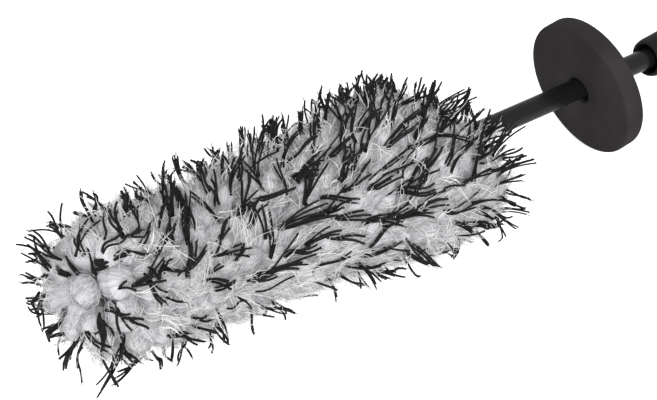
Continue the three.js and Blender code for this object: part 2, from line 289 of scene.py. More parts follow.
def tube_maps(mesh, n, m, sides):
    """The map "strand", round and along each tube, and "OFBake", the same in a cell for each tube. The
    ends of a tube lie as small discs in two corners of the map."""
    across, up = np.arange(sides), np.arange(m - 1)
    step_u = np.stack([across, across + 1, across + 1, across], -1) / sides
    step_v = np.stack([up, up, up + 1, up + 1], -1) / (m - 1)
    side_uv = np.stack(np.broadcast_arrays(step_u[None, None], step_v[None, :, None]), -1)
    side_uv = np.broadcast_to(side_uv, (n, *side_uv.shape[1:]))
    angle = across * 2 * math.pi / sides
    disc = np.stack([np.cos(angle), np.sin(angle)], -1) * 0.04
    end_uv = disc[None, None] + np.array([0.07, 0.93])[None, :, None, None]
    end_uv = np.broadcast_to(end_uv, (n, *end_uv.shape[1:]))
    cells = math.ceil(math.sqrt(n))
    corner = np.stack([np.arange(n) % cells, np.arange(n) // cells], -1)[:, None, None]
    own_sides = (corner[:, None] + 0.15 + 0.7 * side_uv) / cells
    own_ends = (corner + end_uv) / cells
    for label, sides_at, ends_at in (("OFBake", own_sides, own_ends), ("strand", side_uv, end_uv)):
        uv_map = mesh.uv_layers.new(name=label)
        uv_map.data.foreach_set("uv", np.concatenate([sides_at.ravel(), ends_at.ravel()]))


def deselect():
    if bpy.context.object and bpy.context.object.mode != "OBJECT":
        bpy.ops.object.mode_set(mode="OBJECT")
    bpy.ops.object.select_all(action="DESELECT")


def pick(piece):
    deselect()
    piece.select_set(True)
    bpy.context.view_layer.objects.active = piece


def apply(piece, kind, **settings):
    """Adds a modifier, sets it and applies it."""
    pick(piece)
    modifier = piece.modifiers.new(kind.title(), kind)
    for key, value in settings.items():
        setattr(modifier, key, value)
    bpy.ops.object.modifier_apply(modifier=modifier.name)


def drawn_rings(name, outline, sides=96, closed=True):
    """A round piece about the stem's axis: a circle, extruded and scaled ring after ring along the
    outline's (x, radius) points. A closed outline ends where it starts, as a tube does."""
    deselect()
    x, r = outline[0]
    bpy.ops.mesh.primitive_circle_add(
        vertices=sides, radius=r, fill_type="NOTHING",
        location=(x, 0, AXIS_Z), rotation=(0, math.pi / 2, 0))
    piece = bpy.context.object
    piece.name = piece.data.name = name
    bpy.ops.object.transform_apply(location=True, rotation=True, scale=True)
    bpy.ops.object.mode_set(mode="EDIT")
    bpy.ops.mesh.select_all(action="SELECT")
    extrude = bpy.ops.mesh.extrude_edges_move
    if not closed:
        bpy.ops.mesh.edge_face_add()
        extrude = bpy.ops.mesh.extrude_region_move
    for next_x, next_r in outline[1:] + ([outline[0]] if closed else []):
        extrude(TRANSFORM_OT_translate={"value": (next_x - x, 0, 0)})
        scale = next_r / r
        bpy.ops.transform.resize(value=(1, scale, scale), center_override=(next_x, 0, AXIS_Z))
        x, r = next_x, next_r
    bpy.ops.mesh.select_all(action="SELECT")
    bpy.ops.mesh.remove_doubles(threshold=1e-6)
    bpy.ops.mesh.normals_make_consistent(inside=False)
    bpy.ops.object.mode_set(mode="OBJECT")
    bpy.ops.object.shade_smooth_by_angle(angle=math.radians(40))
    return piece


def arc_points(centre, radius, start, end, steps):
    """Outline points (x, r) of an arc; angles in degrees from +X towards larger r."""
    angles = np.radians(np.linspace(start, end, steps + 1))
    return [(centre[0] + radius * math.cos(a), centre[1] + radius * math.sin(a)) for a in angles]


# ---- Head: bed, tufts, fuzz, fibres and yarn ----


def spiral_places(rng, spacing, first_arc, last_arc, shake=0.12):
    """Arcs and turns of places along a spiral from the nose to the rear, evenly spaced, a little shaken."""
    arcs, turns = [], []
    turn, arc = 0.0, first_arc
    while arc < last_arc:
        arcs.append(arc)
        turns.append(turn)
        step = spacing / max(skin_radius(arc), spacing / 3)
        turn += step
        arc += spacing * step / (2 * math.pi)
    arcs, turns = np.array(arcs), np.array(turns)
    arcs = np.clip(arcs + rng.normal(0, shake, len(arcs)) * spacing, 0, END_ARC)
    round_the_stem = np.maximum(skin_radius(arcs), spacing)
    return arcs, turns + rng.normal(0, shake, len(turns)) * spacing / round_the_stem


def curved_paths(start, direction, length, bend, steps):
    """Paths from start along direction, carried aside towards their ends by the vector bend."""
    t = np.linspace(0, 1, steps)[None, :, None]
    return start[:, None] + direction[:, None] * (length[:, None, None] * t) + bend[:, None] * t**2


def aside(rng, direction, amount):
    """Vectors of the given lengths, each square to its direction, at random turns about it."""
    return unit(np.cross(direction, rng.normal(0, 1, direction.shape))) * amount[:, None]


def pile_bed():
    """The dense root of the pile, seen only in the gaps between tufts. Its material is a darker grey than
    the tufts: painted shade in those gaps.
    """
    front = PILE_FRONT_X + 12 * MM
    radius, rear_radius = FLUFF_FRONT_RADIUS - BED_DEPTH, FLUFF_REAR_RADIUS - BED_DEPTH
    rear = PILE_REAR_X - 9 * MM
    bore = WIRE_BORE + 2.6 * MM
    outline = [
        (front, bore),
        (front, radius * 0.55),
        (front + 2 * MM, radius * 0.85),
        (front + 7 * MM, radius),
        (rear - 12 * MM, rear_radius),
        (rear - 4 * MM, rear_radius * 0.85),
        (rear, rear_radius * 0.5),
        (rear, STEM_RADIUS + 0.2 * MM),
        (STEM_LOW[0] - 0.2 * MM, STEM_RADIUS + 0.2 * MM),
        (STEM_LOW[0] - 0.2 * MM, bore),
    ]
    return drawn_rings("pile_bed", outline, sides=48)


def tufts(rng):
    """Soft petals, thin at the root and round at the tip: a spiral of them from the rim of the front to the
    stem, a ring of large ones on the front, and last the nose."""
    arc, turn = spiral_places(rng, TUFT_SPACING, RING_ARC + TUFT_SPACING * 0.8, END_ARC - 2 * MM)
    small = len(arc)
    ring_turn = (np.arange(RING_PETALS) + rng.normal(0, 0.12, RING_PETALS)) * 2 * math.pi / RING_PETALS
    arc = np.concatenate([arc, RING_ARC + rng.normal(0, 1.2 * MM, RING_PETALS), [0]])
    turn = np.concatenate([turn, ring_turn, [0]])
    n = len(arc)
    direction = strand_direction(arc, turn, rng.normal(0, 0.1, n), rng.normal(0, 0.14, n))
    direction[-1] = [-1, 0, 0]
    length = np.minimum(TUFT_LENGTH, 0.7 * skin_radius(arc) + 9 * MM)
    length[small:-1] = RING_ARC * 0.8
    bend = aside(rng, direction, rng.uniform(0.5, 3, n) * MM) + np.array([[2.6 * MM, 0, 0]])
    bend[small:] *= 0.3
    bend[-1] = 0
    tip = skin_at(arc, turn) - direction * (rng.uniform(0, 2.4, n) * MM)[:, None]
    out = skin_normal(arc, turn)
    lying = 1 - np.abs(np.sum(direction * out, axis=-1))
    tip -= out * (lying * TUFT_RADIUS * 0.65)[:, None]
    tip[-1] = [NOSE_X - NOSE_PROUD, 0, AXIS_Z]
    steps = 10
    paths = curved_paths(tip - direction * length[:, None] - bend, direction, length, bend, steps)
    t = np.linspace(0, 1, steps)
    widest = 0.55
    rise = np.sin(np.clip(t / widest, 0, 1) * math.pi / 2)
    fall = np.sqrt(np.maximum(1 - np.clip((t - widest) / (1.002 - widest), 0, 1) ** 2.3, 0))
    size = rng.uniform(0.82, 1.2, n)
    size[small:-1] *= 1.2  # the petals of the ring
    size[-1] = 1.12  # the nose
    root = 0.38
    radii = TUFT_RADIUS * size[:, None] * ((root + (1 - root) * rise) * fall)[None]
    sides = 10
    lumps = rng.normal(0, 0.1, (n, steps, sides))
    lumps = (lumps + np.roll(lumps, 1, 2) + np.roll(lumps, -1, 2)) * 0.7
    lumpy = radii[..., None] * (1 + lumps)
    return tubes("tufts", paths, lumpy, sides, rng.uniform(0, 1, n), flat=TUFT_FLATNESS), paths, radii


def combed_fibres(rng, paths, radii, count, name):
    """Fibres that lie along the skins of the tufts, close together, and part a little at the tips."""
    n, steps, _ = paths.shape
    which = rng.integers(0, n, count)
    knots = 4
    first = rng.uniform(0.3, 0.78, count)
    reach = rng.uniform(0.22, 0.42, count)
    along = first[:, None] + reach[:, None] * np.linspace(0, 1, knots)
    spot = np.clip(along, 0, 1) * (steps - 1.001)
    low = spot.astype(int)
    share = spot - low
    tuft = which[:, None]
    _, u, v = frames(paths)

    def blend(values):
        mix = share[..., None] if values.ndim == 3 else share
        return values[tuft, low] * (1 - mix) + values[tuft, low + 1] * mix

    drift = rng.normal(0, 0.8, count)[:, None] * np.linspace(0, 1, knots)
    angle = rng.uniform(0, 2 * math.pi, count)[:, None] + drift
    off = unit(blend(u) * np.cos(angle)[..., None] * TUFT_FLATNESS + blend(v) * np.sin(angle)[..., None])
    close = rng.uniform(0.9, 1.02, count)
    parting = rng.uniform(0, 0.28, count)
    lift = close[:, None] + np.linspace(0, 1, knots) * parting[:, None]
    spread = np.maximum(blend(radii), 1.2 * MM * rng.uniform(0.2, 1, count)[:, None]) * lift
    past = np.maximum(along - 1, 0)[..., None] * TUFT_LENGTH
    tip_heading = unit(paths[which, -1] - paths[which, -3])
    lines = blend(paths) + off * spread[..., None] + tip_heading[:, None] * past
    lines += rng.normal(0, 0.28 * MM, lines.shape)
    thickness = (rng.uniform(0.06, 0.2, count) * MM)[:, None] * np.array([0.5, 1, 1, 0.35])
    return tubes(name, lines, thickness, 3, rng.uniform(0, 1, count))


def swirled_fibres(rng, paths, radii, count, name):
    """Fibres wrapped round the tips of the tufts, any way about, as the loops of the pile lie."""
    n, steps, _ = paths.shape
    which = rng.integers(0, n, count)
    near = rng.integers(steps - 5, steps - 1, count)
    axis = unit(paths[which, -1] - paths[which, -3])
    ball = np.minimum(radii[which, near] + rng.uniform(-0.2, 0.5, count) * MM, TUFT_RADIUS * 1.15)
    out = unit(axis * rng.uniform(0.2, 1, count)[:, None] + rng.normal(0, 0.5, (count, 3)))
    along = unit(np.cross(out, rng.normal(0, 1, (count, 3)) + axis * 0.4))
    knots = 5
    reach = rng.uniform(0.5, 1.5, count)[:, None] * np.linspace(-0.5, 0.5, knots)
    spin = out[:, None] * np.cos(reach)[..., None] + along[:, None] * np.sin(reach)[..., None]
    swell = ball[:, None] * (1 + rng.uniform(0, 0.3, count)[:, None] * np.linspace(-0.3, 1, knots) ** 2)
    lines = paths[which, near][:, None] + spin * swell[..., None]
    lines += rng.normal(0, 0.13 * MM, lines.shape)
    thickness = (rng.uniform(0.07, 0.14, count) * MM)[:, None] * np.array([0.4, 1, 1, 0.9, 0.35])
    return tubes(name, lines, thickness, 3, rng.uniform(0, 1, count))


def loose_fuzz(rng, paths, radii, count, name):
    """Short fine fibres that stand out of the tufts and curl."""
    n, steps, _ = paths.shape
    which = rng.integers(0, n, count)
    low = np.minimum((rng.beta(3, 1.1, count) * (steps - 1)).astype(int), steps - 2)
    axis = unit(paths[which, -1] - paths[which, -3])
    out = aside(rng, axis, np.ones(count))
    root = paths[which, low] + out * (radii[which, low] * 0.9)[:, None]
    heading = unit(out * rng.uniform(0.25, 0.8, count)[:, None] + axis + rng.normal(0, 0.3, (count, 3)))
    length = rng.uniform(3, 7, count) * MM
    bend = aside(rng, heading, length * rng.uniform(0.1, 0.6, count)) - out * (length * 0.15)[:, None]
    lines = curved_paths(root, heading, length, bend, 4)
    thickness = (rng.uniform(0.05, 0.1, count) * MM)[:, None] * np.array([1, 0.95, 0.8, 0.35])
    return tubes(name, lines, thickness, 3, rng.uniform(0, 1, count))


def white_fibres(rng, locks, name):
    """Crisp white fibres, thicker than the fuzz, that lie over the tufts in curled locks of up to five."""
    arc = rng.uniform(0.08, 1, locks) * END_ARC
    arc = arc[rng.uniform(0, 1, locks) < skin_radius(arc) / FLUFF_REAR_RADIUS]
    locks = len(arc)
    owner = np.repeat(np.arange(locks), rng.integers(1, 6, locks))
    n = len(owner)
    turn = rng.uniform(0, 2 * math.pi, locks)[owner]
    lean = rng.normal(0.2, 0.45, locks)[owner] + rng.normal(0, 0.13, n)
    side = rng.normal(0, 0.6, locks)[owner] + rng.normal(0, 0.13, n)
    arc = arc[owner] + rng.normal(0, 0.5 * MM, n)
    direction = strand_direction(arc, turn, lean, side)
    length = rng.uniform(7, 15, locks)[owner] * rng.uniform(0.7, 1.1, n) * MM
    start = skin_at(arc, turn) - direction * (rng.uniform(2, 6, n) * MM)[:, None]
    start += skin_normal(arc, turn) * 0.8 * MM + rng.normal(0, 0.5 * MM, (n, 3))
    hook = unit(np.cross(direction, rng.normal(0, 1, (locks, 3))[owner] + rng.normal(0, 0.2, (n, 3))))
    hook *= (length * rng.uniform(0.1, 0.9, n))[:, None]
    hook -= skin_normal(arc, turn) * (length * 0.12)[:, None]
    steps = 8
    lines = curved_paths(start, direction, length, hook, steps)
    wave = aside(rng, direction, rng.uniform(0.2, 0.9, n) * MM)
    lines += wave[:, None] * np.sin(np.linspace(0, 2.6 * math.pi, steps))[None, :, None]
    taper = np.array([0.8, 1, 1, 1, 1, 0.9, 0.7, 0.3])
    radii = (rng.uniform(0.08, 0.16, n) * MM)[:, None] * taper
    return tubes(name, lines, radii, 3, rng.uniform(0, 1, n))


def stem_lock(rng):
    """A lock of white fibres that has slipped out of the rear of the pile along the stem."""
    n = 16
    turn = LOCK_TURN + rng.normal(0, 0.22, n)
    out = np.stack([np.zeros(n), np.cos(turn), np.sin(turn)], -1)
    start = np.array([PILE_REAR_X + 6 * MM, 0, AXIS_Z]) + out * (STEM_RADIUS + 1.4 * MM)
    direction = np.array([1, 0, 0]) + out * rng.uniform(0.02, 0.3, n)[:, None]
    direction = unit(direction + rng.normal(0, 0.12, (n, 3)))
    length = rng.uniform(8, 12, n) * MM
    bend = aside(rng, direction, length * rng.uniform(0, 0.25, n))
    lines = curved_paths(start, direction, length, bend, 6)
    radii = (rng.uniform(0.34, 0.5, n) * MM)[:, None] * np.array([1, 1, 1, 1, 0.8, 0.4])
    return tubes("stem_lock", lines, radii, 4, rng.uniform(0, 1, n))


def black_yarn(rng):
    """Black yarn ends, in fans of up to five, out of the gaps between tufts."""
    rows = [TUFT_SPACING, TUFT_SPACING * 1.45]
    places = [spiral_places(rng, TUFT_SPACING, first, END_ARC - 1 * MM, 0.2) for first in rows]
    arc = np.concatenate([place[0] for place in places])
    turn = np.concatenate([place[1] for place in places]) + math.radians(9)
    upper = 0.5 + 0.5 * np.cos(turn - math.radians(80))
    on_face = np.clip(1.15 - arc / RIM_ARC, 0, 1)
    wanted = 0.3 + 0.6 * upper * np.clip(arc / END_ARC + 0.35, 0, 1) + 0.9 * on_face
    keep = rng.uniform(0, 1, len(arc)) < wanted
    arc, turn = arc[keep], turn[keep]
    group = 1 + rng.binomial(4, 0.12 + 0.34 * np.maximum(upper, on_face)[keep])
    bundles = len(group)
    owner = np.repeat(np.arange(bundles), group)
    n = len(owner)
    row = np.arange(n) - np.repeat(np.cumsum(group) - group, group) - (group[owner] - 1) / 2

    def per_bundle(low, high):
        return rng.uniform(low, high, bundles)[owner]

    arc, turn = arc[owner], turn[owner]
    on_face = np.clip(1.15 - arc / RIM_ARC, 0, 1)
    lean = rng.normal(-0.05, 0.3, bundles)[owner] + rng.normal(0, 0.11, n) + 0.35 * on_face
    side = rng.normal(0, 0.4, bundles)[owner] + row * per_bundle(0.0, 0.15) + rng.normal(0, 0.07, n)
    direction = strand_direction(arc, turn, lean, side)
    across = unit(np.cross(direction, skin_normal(arc, turn)))
    under = (per_bundle(4, 7) - 2.5 * on_face) * MM
    lift = (1.2 + 2.8 * on_face) * MM
    start = skin_at(arc, turn) - direction * under[:, None] + skin_normal(arc, turn) * lift[:, None]
    start += across * (row * per_bundle(0.45, 1.0) * MM)[:, None] + rng.normal(0, 0.3 * MM, (n, 3))
    shown = per_bundle(4, 9) * MM + (4.5 * brushed_flat(arc, turn) + 6 * on_face) * MM
    shown *= np.clip((END_ARC - arc) / SHORT_AT_STEM, 0.3, 1)
    length = under + shown * rng.uniform(0.7, 1.15, n)
    sweep = rng.normal(0, 1, (bundles, 3))[owner] + rng.normal(0, 0.3, (n, 3))
    bent = length * per_bundle(0.08, 0.6) * rng.uniform(0.7, 1.3, n)
    bend = unit(np.cross(direction, sweep)) * bent[:, None]
    bend[:, 0] += length * per_bundle(0.0, 0.3)
    steps = 10
    lines = curved_paths(start, direction, length, bend, steps)
    wave = unit(np.cross(direction, bend)) * (per_bundle(-1.3, 1.3) * MM)[:, None]
    lines += wave[:, None] * np.sin(np.linspace(0, 1.9 * math.pi, steps))[None, :, None]
    taper = np.ones(steps)
    taper[-1] = 0.8
    radii = (rng.uniform(0.48, 0.64, n) * MM)[:, None] * taper
    return tubes("black_yarn", lines, radii, 6, rng.uniform(0, 1, n), flat=0.78, clearance=0.6 * MM), lines


def frayed_tips(rng, lines):
    """Thin plies that part at the ends of about half of the yarn."""
    frayed = lines[rng.uniform(0, 1, len(lines)) < 0.5]
    owner = np.repeat(np.arange(len(frayed)), 2)
    count = len(owner)
    heading = unit(frayed[owner, -1] - frayed[owner, -4])
    length = rng.uniform(2.2, 4.4, count) * MM
    bend = aside(rng, heading, length * rng.uniform(0.05, 0.4, count))
    paths = curved_paths(frayed[owner, -2], heading, length, bend, 4)
    radii = (rng.uniform(0.13, 0.24, count) * MM)[:, None] * np.array([1, 1, 0.8, 0.3])
    return tubes("frayed_yarn", paths, radii, 3, rng.uniform(0, 1, count))


# ---- Materials ----


def new_material(name):
    """A node material, with its nodes and links."""
    material = bpy.data.materials.new(name)
    material.use_nodes = True
    return material, material.node_tree.nodes, material.node_tree.links


def strand_colour_group():
    """Colour of a strand from its root to its tip, with a spread from strand to strand. The darker root
    colour given to it is painted shade down in the pile.
    """
    group = bpy.data.node_groups.new("strand colour, root in painted shade", "ShaderNodeTree")
    group.interface.new_socket("Root", in_out="INPUT", socket_type="NodeSocketColor")
    group.interface.new_socket("Tip", in_out="INPUT", socket_type="NodeSocketColor")
    group.interface.new_socket("Spread", in_out="INPUT", socket_type="NodeSocketFloat")
    group.interface.new_socket("Color", in_out="OUTPUT", socket_type="NodeSocketColor")
    nodes, links = group.nodes, group.links
    given, made = nodes.new("NodeGroupInput"), nodes.new("NodeGroupOutput")
    along, shade = nodes.new("ShaderNodeAttribute"), nodes.new("ShaderNodeAttribute")
    along.attribute_name, shade.attribute_name = "along", "shade"
    mix = nodes.new("ShaderNodeMix")
    mix.data_type = "RGBA"
    links.new(along.outputs["Fac"], mix.inputs["Factor"])
    links.new(given.outputs["Root"], mix.inputs["A"])
    links.new(given.outputs["Tip"], mix.inputs["B"])
    centred = nodes.new("ShaderNodeMath")
    centred.operation = "SUBTRACT"
    links.new(shade.outputs["Fac"], centred.inputs[0])
    centred.inputs[1].default_value = 0.5
    scaled = nodes.new("ShaderNodeMath")
    scaled.operation = "MULTIPLY_ADD"
    links.new(centred.outputs[0], scaled.inputs[0])
    links.new(given.outputs["Spread"], scaled.inputs[1])
    scaled.inputs[2].default_value = 1
    bright = nodes.new("ShaderNodeVectorMath")
    bright.operation = "SCALE"
    links.new(mix.outputs["Result"], bright.inputs[0])
    links.new(scaled.outputs[0], bright.inputs["Scale"])
    links.new(bright.outputs[0], made.inputs["Color"])
    return group


def mottle_group():
    """Fine and coarse unevenness of a surface: a mask, and a bump height."""
    group = bpy.data.node_groups.new("mottle", "ShaderNodeTree")
    group.interface.new_socket("Scale", in_out="INPUT", socket_type="NodeSocketFloat")
    group.interface.new_socket("Stretch", in_out="INPUT", socket_type="NodeSocketVector")
    group.interface.new_socket("Mask", in_out="OUTPUT", socket_type="NodeSocketFloat")
    group.interface.new_socket("Height", in_out="OUTPUT", socket_type="NodeSocketFloat")
    nodes, links = group.nodes, group.links
    given, made = nodes.new("NodeGroupInput"), nodes.new("NodeGroupOutput")
    place = nodes.new("ShaderNodeTexCoord")
    stretch = nodes.new("ShaderNodeVectorMath")
    stretch.operation = "MULTIPLY"
    links.new(place.outputs["Object"], stretch.inputs[0])
    links.new(given.outputs["Stretch"], stretch.inputs[1])
    coarse, fine = nodes.new("ShaderNodeTexNoise"), nodes.new("ShaderNodeTexNoise")
    coarse.inputs["Detail"].default_value = 3
    fine.inputs["Detail"].default_value = 6
    finer = nodes.new("ShaderNodeMath")
    finer.operation = "MULTIPLY"
    finer.inputs[1].default_value = 7
    links.new(given.outputs["Scale"], coarse.inputs["Scale"])
    links.new(given.outputs["Scale"], finer.inputs[0])
    links.new(finer.outputs[0], fine.inputs["Scale"])
    for noise in (coarse, fine):
        links.new(stretch.outputs[0], noise.inputs["Vector"])
    links.new(coarse.outputs["Fac"], made.inputs["Mask"])
    links.new(fine.outputs["Fac"], made.inputs["Height"])
    return group


def strand_relief_group():
    """Streaks that run along each tuft or strand, different on each, and the twist of its plies."""
    group = bpy.data.node_groups.new("strand relief", "ShaderNodeTree")
    group.interface.new_socket("Around", in_out="INPUT", socket_type="NodeSocketFloat")
    group.interface.new_socket("Along", in_out="INPUT", socket_type="NodeSocketFloat")
    group.interface.new_socket("Twists", in_out="INPUT", socket_type="NodeSocketFloat")
    group.interface.new_socket("Streaks", in_out="OUTPUT", socket_type="NodeSocketFloat")
    group.interface.new_socket("Height", in_out="OUTPUT", socket_type="NodeSocketFloat")
    nodes, links = group.nodes, group.links
    given, made = nodes.new("NodeGroupInput"), nodes.new("NodeGroupOutput")
    place, split = nodes.new("ShaderNodeUVMap"), nodes.new("ShaderNodeSeparateXYZ")
    place.uv_map = "strand"
    links.new(place.outputs["UV"], split.inputs[0])
    shade = nodes.new("ShaderNodeAttribute")
    shade.attribute_name = "shade"

    def maths(operation, *values):
        node = nodes.new("ShaderNodeMath")
        node.operation = operation
        for socket, value in zip(node.inputs, values):
            if isinstance(value, (int, float)):
                socket.default_value = value
            else:
                links.new(value, socket)
        return node.outputs[0]

    turn = maths("MULTIPLY", split.outputs["X"], 2 * math.pi)
    across = maths("MULTIPLY", maths("COSINE", turn), given.outputs["Around"])
    up = maths("MULTIPLY", maths("SINE", turn), given.outputs["Around"])
    down_the_strand = maths("MULTIPLY", split.outputs["Y"], given.outputs["Along"])
    own_place = maths("MULTIPLY_ADD", shade.outputs["Fac"], 80, down_the_strand)
    joined = nodes.new("ShaderNodeCombineXYZ")
    for socket, value in zip(joined.inputs, (across, up, own_place)):
        links.new(value, socket)
    noise = nodes.new("ShaderNodeTexNoise")
    noise.inputs["Scale"].default_value = 1
    noise.inputs["Detail"].default_value = 4
    noise.inputs["Distortion"].default_value = 0.6
    links.new(joined.outputs[0], noise.inputs["Vector"])
    plies = maths("MULTIPLY", given.outputs["Twists"], split.outputs["Y"])
    ridge = maths("SINE", maths("MULTIPLY_ADD", plies, 2 * math.pi, maths("MULTIPLY", turn, 2)))
    links.new(noise.outputs["Fac"], made.inputs["Streaks"])
    links.new(maths("MULTIPLY_ADD", ridge, 0.25, noise.outputs["Fac"]), made.inputs["Height"])
    return group


STRAND_COLOUR_ROOT_SHADE = strand_colour_group()
STRAND_RELIEF = strand_relief_group()
MOTTLE = mottle_group()


def strand_material(name, root, tip, spread, roughness, around, along, twists, depth):
    """Colour from root to tip and from strand to strand, streaked, with a relief of depth in metres. A root
    darker than the tip is painted shade down in the pile.
    """
    material, nodes, links = new_material(name)
    shader = nodes["Principled BSDF"]
    colour, relief = nodes.new("ShaderNodeGroup"), nodes.new("ShaderNodeGroup")
    colour.node_tree, relief.node_tree = STRAND_COLOUR_ROOT_SHADE, STRAND_RELIEF
    colour.inputs["Root"].default_value = (*root, 1)
    colour.inputs["Tip"].default_value = (*tip, 1)
    colour.inputs["Spread"].default_value = spread
    relief.inputs["Around"].default_value = around
    relief.inputs["Along"].default_value = along
    relief.inputs["Twists"].default_value = twists
    streak = nodes.new("ShaderNodeMapRange")
    streak.inputs["From Min"].default_value, streak.inputs["From Max"].default_value = 0.3, 0.7
    streak.inputs["To Min"].default_value, streak.inputs["To Max"].default_value = 0.8, 1.15
    links.new(relief.outputs["Streaks"], streak.inputs["Value"])
    streaked = nodes.new("ShaderNodeVectorMath")
    streaked.operation = "SCALE"
    links.new(colour.outputs["Color"], streaked.inputs[0])
    links.new(streak.outputs["Result"], streaked.inputs["Scale"])
    links.new(streaked.outputs[0], shader.inputs["Base Color"])
    bump = nodes.new("ShaderNodeBump")
    bump.inputs["Strength"].default_value = 1
    bump.inputs["Distance"].default_value = depth
    links.new(relief.outputs["Height"], bump.inputs["Height"])
    links.new(bump.outputs["Normal"], shader.inputs["Normal"])
    shader.inputs["Roughness"].default_value = roughness
    return material


def solid_material(name, dark, light, scale, roughness, bump, stretch=(1, 1, 1), **sockets):
    """A moulded, foamed or drawn surface: two near shades in a coarse mottle, uneven gloss, a fine bump."""
    material, nodes, links = new_material(name)
    shader = nodes["Principled BSDF"]
    mottle = nodes.new("ShaderNodeGroup")
    mottle.node_tree = MOTTLE
    mottle.inputs["Scale"].default_value = scale
    mottle.inputs["Stretch"].default_value = stretch
    ramp = nodes.new("ShaderNodeValToRGB")
    ramp.color_ramp.elements[0].position, ramp.color_ramp.elements[0].color = 0.3, (*dark, 1)
    ramp.color_ramp.elements[1].position, ramp.color_ramp.elements[1].color = 0.7, (*light, 1)
    links.new(mottle.outputs["Mask"], ramp.inputs["Fac"])
    links.new(ramp.outputs["Color"], shader.inputs["Base Color"])
    gloss = nodes.new("ShaderNodeMapRange")
    gloss.inputs["To Min"].default_value = roughness - 0.06
    gloss.inputs["To Max"].default_value = roughness + 0.06
    links.new(mottle.outputs["Mask"], gloss.inputs["Value"])
    links.new(gloss.outputs["Result"], shader.inputs["Roughness"])
    relief = nodes.new("ShaderNodeBump")
    relief.inputs["Strength"].default_value = bump
    relief.inputs["Distance"].default_value = 0.2 * MM
    links.new(mottle.outputs["Height"], relief.inputs["Height"])
    links.new(relief.outputs["Normal"], shader.inputs["Normal"])
    for key, value in sockets.items():
        shader.inputs[key].default_value = value
    return material


def wear(piece, material):
    """Gives a piece its material."""
    piece.data.materials.clear()
    piece.data.materials.append(material)


# Each strand material is darker at the root than at the tip: painted shade down in the pile. The spread
# from strand to strand and the streaks are uneven tone.
TUFT_FLUFF = strand_material(
    "white tuft", root=(0.36, 0.355, 0.37), tip=(0.6, 0.593, 0.61), spread=0.22,
    roughness=0.95, around=5, along=2.5, twists=0, depth=1.1 * MM)
FUZZ = strand_material(
    "fine white fibre", root=(0.5, 0.494, 0.51), tip=(0.68, 0.672, 0.69), spread=0.85,
    roughness=0.8, around=0.5, along=3, twists=0, depth=0.02 * MM)
WHITE_FIBRE = strand_material(
    "crisp white fibre", root=(0.9, 0.9, 0.9), tip=(0.95, 0.95, 0.95), spread=0.1,
    roughness=0.5, around=0.4, along=2, twists=0, depth=0.02 * MM)
YARN = strand_material(
    "black yarn", root=(0.006, 0.006, 0.0065), tip=(0.012, 0.0115, 0.012), spread=0.7,
    roughness=0.8, around=1.2, along=14, twists=9, depth=0.12 * MM)
# The bed's grey, darker than the tufts, is painted shade in the gaps between them; the mottle within it is
# uneven tone.
BED_FLUFF_PAINTED_SHADE = solid_material(
    "pile root in painted shade", dark=(0.22, 0.22, 0.23), light=(0.35, 0.35, 0.36), scale=300,
    roughness=0.93, bump=0.8)
SLEEVE = solid_material(
    "black sleeve", dark=(0.005, 0.005, 0.0053), light=(0.009, 0.009, 0.0095), scale=60,
    roughness=0.26, bump=0.1, stretch=(0.15, 1, 1))
FOAM = solid_material(
    "charcoal foam", dark=(0.0225, 0.0195, 0.0205), light=(0.0385, 0.0345, 0.036), scale=38,
    roughness=0.92, bump=0.7, stretch=(1, 1, 0.45))
RUBBER = solid_material(
    "black rubber", dark=(0.004, 0.004, 0.0044), light=(0.008, 0.0077, 0.0085), scale=70,
    roughness=0.6, bump=0.35)
PLASTIC = solid_material(
    "black plastic", dark=(0.011, 0.011, 0.012), light=(0.018, 0.018, 0.019), scale=90,
    roughness=0.45, bump=0.25)
WIRE = solid_material(
    "drawn steel", dark=(0.5, 0.5, 0.51), light=(0.66, 0.66, 0.67), scale=90,
    roughness=0.35, bump=0.2, stretch=(0.2, 1, 1), Metallic=1.0)
for material, level in ((YARN, 0.2), (SLEEVE, 0.3), (FOAM, 0.1), (RUBBER, 0.2), (PLASTIC, 0.35)):
    material.node_tree.nodes["Principled BSDF"].inputs["Specular IOR Level"].default_value = level


# ---- Stem, guard and handle ----


def stem_sleeve():
    """The coating of the stem: a tube with its end edges broken."""
    edge = 0.4 * MM
    wall = 1.3 * MM
    x0, x1, r = STEM_LOW[0], STEM_HIGH[0], STEM_RADIUS
    outline = [
        (x0, r - wall), (x0, r - edge), (x0 + edge, r),
        (x1 - edge, r), (x1, r - edge), (x1, r - wall),
    ]
    return drawn_rings("sleeve", outline, sides=64)


GUARD_THICKNESS = 10 * MM
GUARD_TILT = math.radians(10)
GUARD_HOLE_RADIUS = 7.2 * MM


def splash_guard():
    """A die-cut foam disc with softly rounded edges, spun upright and then leaned on the stem."""
    half, outside = GUARD_THICKNESS / 2, (GUARD_HIGH[1] - GUARD_LOW[1]) / 2
    soft, lip = 1.5 * MM, 0.7 * MM
    outline = [
        *arc_points((-half + lip, GUARD_HOLE_RADIUS + lip), lip, 270, 180, 3),
        *arc_points((-half + soft, outside - soft), soft, 180, 90, 6),
        *arc_points((half - soft, outside - soft), soft, 90, 0, 6),
        *arc_points((half - lip, GUARD_HOLE_RADIUS + lip), lip, 0, -90, 3),
    ]
    piece = drawn_rings("foam_guard", outline, sides=128)
    centre = (Vector(GUARD_LOW) + Vector(GUARD_HIGH)) / 2
    axis = Vector((0, 0, AXIS_Z))
    lean = Matrix.Translation(centre) @ Matrix.Rotation(-GUARD_TILT, 4, "Y") @ Matrix.Translation(-axis)
    piece.data.transform(lean)
    return piece


LIP_ROUND = 3 * MM
RECESS_RADIUS = 7.8 * MM
LIP_RADIUS = 10.3 * MM
SWELL_RADIUS = 13.6 * MM
WAIST_RADIUS = 12.2 * MM
REAR_RADIUS = 13.2 * MM
RECESS_DEPTH = 8 * MM
GRIP_BORE = 9.3 * MM


